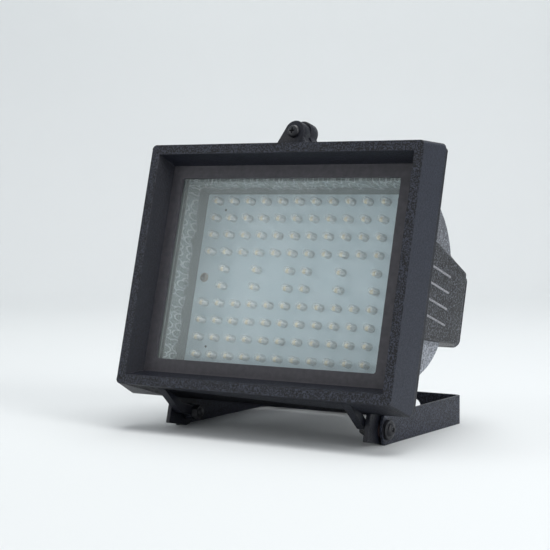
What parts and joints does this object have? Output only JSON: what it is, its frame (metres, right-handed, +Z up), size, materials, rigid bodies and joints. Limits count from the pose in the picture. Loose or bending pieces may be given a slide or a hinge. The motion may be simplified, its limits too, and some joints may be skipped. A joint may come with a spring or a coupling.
{
  "type": "solar floodlight lamp head",
  "caption": "Flat floodlight head: a glazed cast frame over a board of clear lamps in a curved housing with a rear box, on a bent strap bracket that tilts.",
  "frame": {"origin": "middle of the bracket's round fixing hole, on the crossbar's back face", "axes": "+Z up, the lamp shines towards -Y and leans back, +X to the right seen from the front"},
  "size_m": [0.205, 0.1495, 0.1923],
  "materials": {
    "frame_paint": "satin near-black powder coat with a fine hammered texture",
    "housing_paint": "coarser speckled near-black powder coat",
    "bracket_paint": "satin near-black powder coat",
    "screw_steel": "zinc plated",
    "clip_steel": "zinc plated",
    "fibre": "red vulcanised fibre",
    "hammered_aluminium": "hammered bright sheet",
    "board_white": "pale blue-grey solder mask",
    "clear_lens": "clear epoxy lens",
    "board_green": "green solder mask",
    "cell_wrap": "blue heat-shrink wrap",
    "terminal_plastic": "moulded plastic",
    "gland_plastic": "black nylon",
    "seal_rubber": "black rubber",
    "window_seal": "brown-grey silicone rubber",
    "window_glass": "clear hardened glass"
  },
  "bodies": {
    "bracket": {"tilt_bracket": "bracket_paint", "pivot_screws": "screw_steel", "pivot_washers": "screw_steel", "friction_washers": "fibre", "pivot_nuts": "screw_steel"},
    "housing": {"housing_shell": "housing_paint", "reflector": "hammered_aluminium", "led_board": "board_white", "led_lamps": "clear_lens", "board_screws": "screw_steel", "rear_cover": "housing_paint", "rear_cover_seal": "seal_rubber", "rear_cover_screws": "screw_steel", "battery_cells": "cell_wrap", "control_board": "board_green", "control_screws": "screw_steel", "terminal_block": "terminal_plastic", "gland_body": "gland_plastic", "gland_cap": "gland_plastic", "gland_seal": "seal_rubber", "gland_locknut": "gland_plastic"},
    "front_frame": {"front_frame": "frame_paint", "glass_pane": "window_glass", "glass_gasket": "window_seal", "glass_clips": "clip_steel", "clip_screws": "screw_steel", "closing_screw": "screw_steel"}
  },
  "joints": [
    {"name": "tilt", "type": "hinge", "parent": "bracket", "child": "housing", "pos_m": [0, -0.0965, 0], "axis": [1, 0, 0], "range_deg": [-15, 100]},
    {"name": "frame_hinge", "type": "hinge", "parent": "housing", "child": "front_frame", "pos_m": [0, -0.0965, 0], "axis": [1, 0, 0], "range_deg": [0, 80]}
  ]
}
